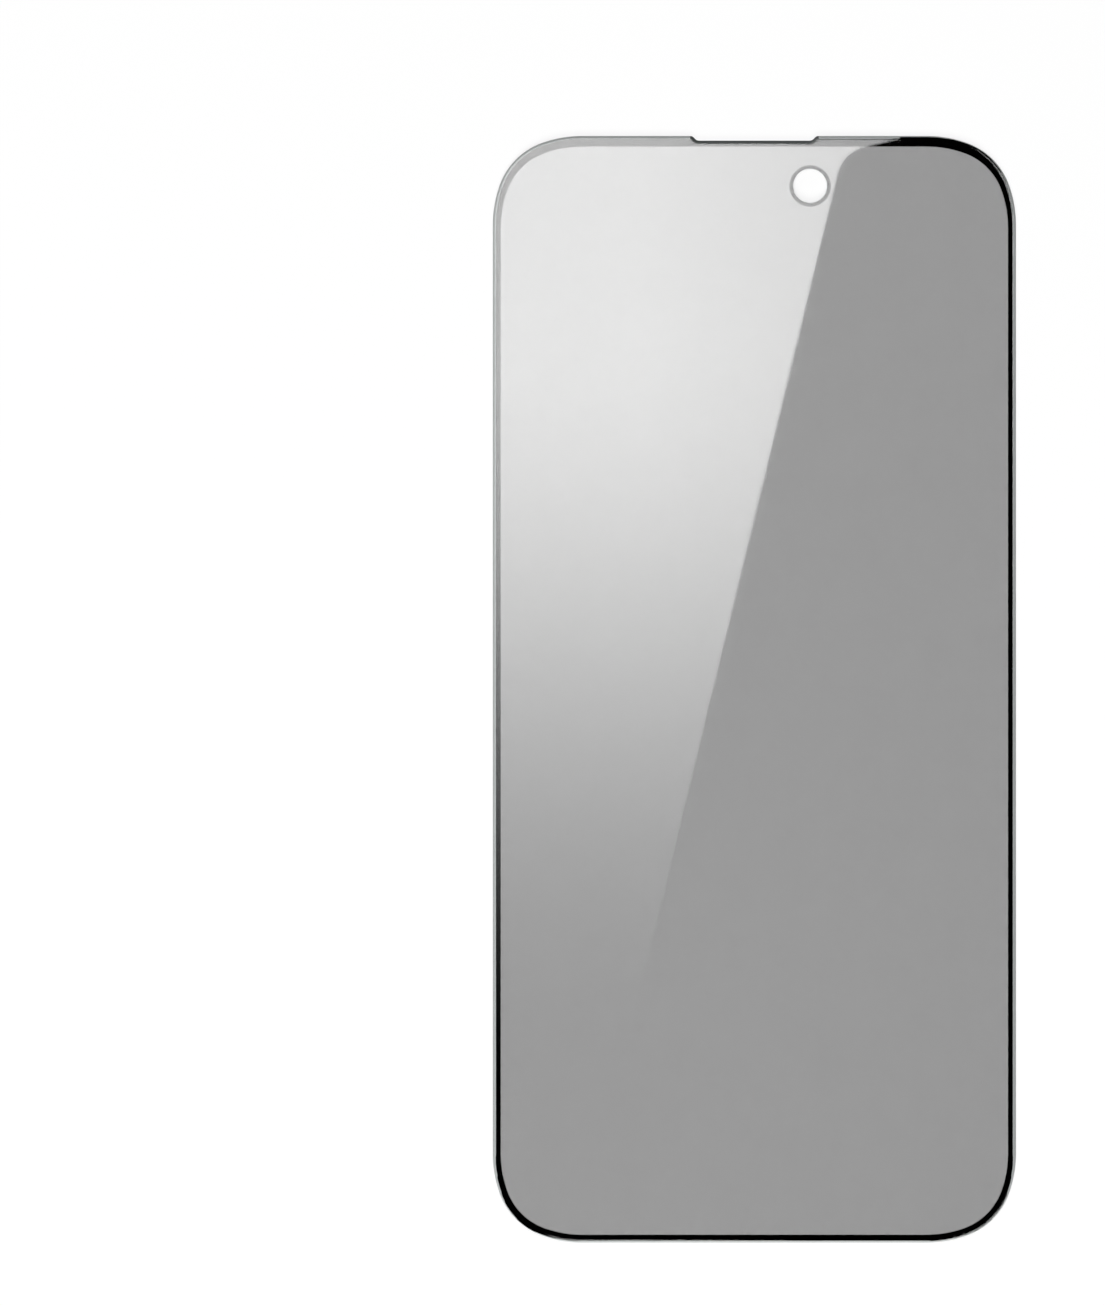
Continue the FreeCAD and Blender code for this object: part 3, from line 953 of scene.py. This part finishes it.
# %% Draw the panel as it shows on the glass
PANEL_HEIGHT = 500.0
SLANT = 13.6
BEND_POINT = (11.72, 72.6)
BEND_RADIUS = 5.2
BEND_STEPS = 24
BEND_TURN = 64.4
PANEL_RIGHT = 20.5
BEND_EXIT = (PANEL_RIGHT, 77.5)
PANEL_LOW = -120.0
PANEL_HIGH = 420.0
PANEL_LEFT = -420.0

drop = BEND_POINT[1] - PANEL_LOW
panel_foot = (BEND_POINT[0] - drop * math.tan(math.radians(SLANT)), PANEL_LOW)
panel = pen_down("light_panel", *panel_foot)
here = pen_line(panel_foot, BEND_POINT)
bend_center = on_circle(BEND_POINT, BEND_RADIUS, -SLANT)
here = pen_arc(bend_center, BEND_RADIUS, 2 * RIGHT_ANGLE - SLANT, BEND_TURN, BEND_STEPS)
far_right = (PANEL_RIGHT, PANEL_HIGH)
far_left = (PANEL_LEFT, PANEL_HIGH)
for stop in (BEND_EXIT, far_right, far_left, (PANEL_LEFT, PANEL_LOW)):
    here = pen_line(here, stop)
bpy.ops.mesh.select_all(action="SELECT")
bpy.ops.mesh.edge_face_add()
ENLARGE = 1.0 + PANEL_HEIGHT / CAMERA_HEIGHT
PANEL_SHIFT = (SHEET_RIGHT * (ENLARGE - 1.0), -SHEET_BELOW * (ENLARGE - 1.0), PANEL_HEIGHT)
bpy.ops.transform.resize(value=(ENLARGE, ENLARGE, 1.0), center_override=(0.0, 0.0, 0.0))
bpy.ops.transform.translate(value=PANEL_SHIFT)
bpy.ops.object.mode_set(mode="OBJECT")
panel.scale = (MM, MM, MM)
bpy.ops.object.transform_apply(location=False, rotation=False, scale=True)
print("panel corners:", len(panel.data.vertices))

# %% [markdown]
# The panel's light is strongest at the upper left, a little weaker to the right, and falls to
# nothing towards the bottom. A Mapping node turns places on the panel back to millimetres on
# the glass, so that each fade can be set where it shows in the photograph. The camera doesn't
# see the panel, and it lights nothing but reflections.

# %% Light the panel
PANEL_PEAK = 5.9
ACROSS_FROM = -16.0
ACROSS_TO = 13.5
RIGHT_SHARE = 0.81
FADE_FROM = -60.0
FADE_TO = 52.0
FADE_POWER = 1.6
FULL_TO_TOP = 180.0
FULL_TO_LEFT = -180.0
FAN_FOOT = 125.0
FAN_ANGLE = 25.0

lit, tree = new_material("light_panel_fading")
place = add_node(tree, "ShaderNodeTexCoord", {}).outputs["Object"]
on_glass = add_node(
    tree,
    "ShaderNodeMapping",
    {
        "Vector": place,
        "Location": [-shift / ENLARGE for shift in PANEL_SHIFT],
        "Scale": (per_metre(ENLARGE), per_metre(ENLARGE), 1.0),
    },
)
axes = add_node(tree, "ShaderNodeSeparateXYZ", {0: on_glass.outputs[0]})
across = add_node(
    tree,
    "ShaderNodeMapRange",
    {
        "Value": axes.outputs["X"],
        "From Min": ACROSS_FROM,
        "From Max": ACROSS_TO,
        "To Min": PANEL_PEAK,
        "To Max": PANEL_PEAK * RIGHT_SHARE,
    },
)
fade = add_node(
    tree,
    "ShaderNodeMapRange",
    {"Value": axes.outputs["Y"], "From Min": FADE_FROM, "From Max": FADE_TO},
    interpolation_type="SMOOTHSTEP",
)
softer = add_node(tree, "ShaderNodeMath", {0: fade.outputs["Result"], 1: FADE_POWER}, operation="POWER")
strength = add_node(
    tree,
    "ShaderNodeMath",
    {0: across.outputs["Result"], 1: softer.outputs[0]},
    operation="MULTIPLY",
)
inwards = add_node(tree, "ShaderNodeMath", {0: PANEL_RIGHT, 1: axes.outputs["X"]}, operation="SUBTRACT")
onwards = add_node(tree, "ShaderNodeMath", {0: axes.outputs["Y"], 1: FAN_FOOT}, operation="SUBTRACT")
opening = add_node(
    tree,
    "ShaderNodeMath",
    {0: inwards.outputs[0], 1: onwards.outputs[0]},
    operation="ARCTAN2",
)
endings = (
    (axes.outputs["Y"], PANEL_HIGH, FULL_TO_TOP),
    (axes.outputs["X"], PANEL_LEFT, FULL_TO_LEFT),
    (opening.outputs[0], 0.0, math.radians(FAN_ANGLE)),
)
for measure, end, full in endings:
    ending = add_node(
        tree,
        "ShaderNodeMapRange",
        {"Value": measure, "From Min": end, "From Max": full},
        interpolation_type="SMOOTHSTEP",
    )
    strength = add_node(
        tree,
        "ShaderNodeMath",
        {0: strength.outputs[0], 1: ending.outputs["Result"]},
        operation="MULTIPLY",
    )
light = add_node(tree, "ShaderNodeEmission", {"Color": colour("FFFFFF"), "Strength": strength.outputs[0]})
show(tree, light.outputs[0])
panel.data.materials.append(lit)
panel.visible_camera = False
panel.visible_diffuse = False
panel.visible_shadow = False
print("panel peak", PANEL_PEAK)
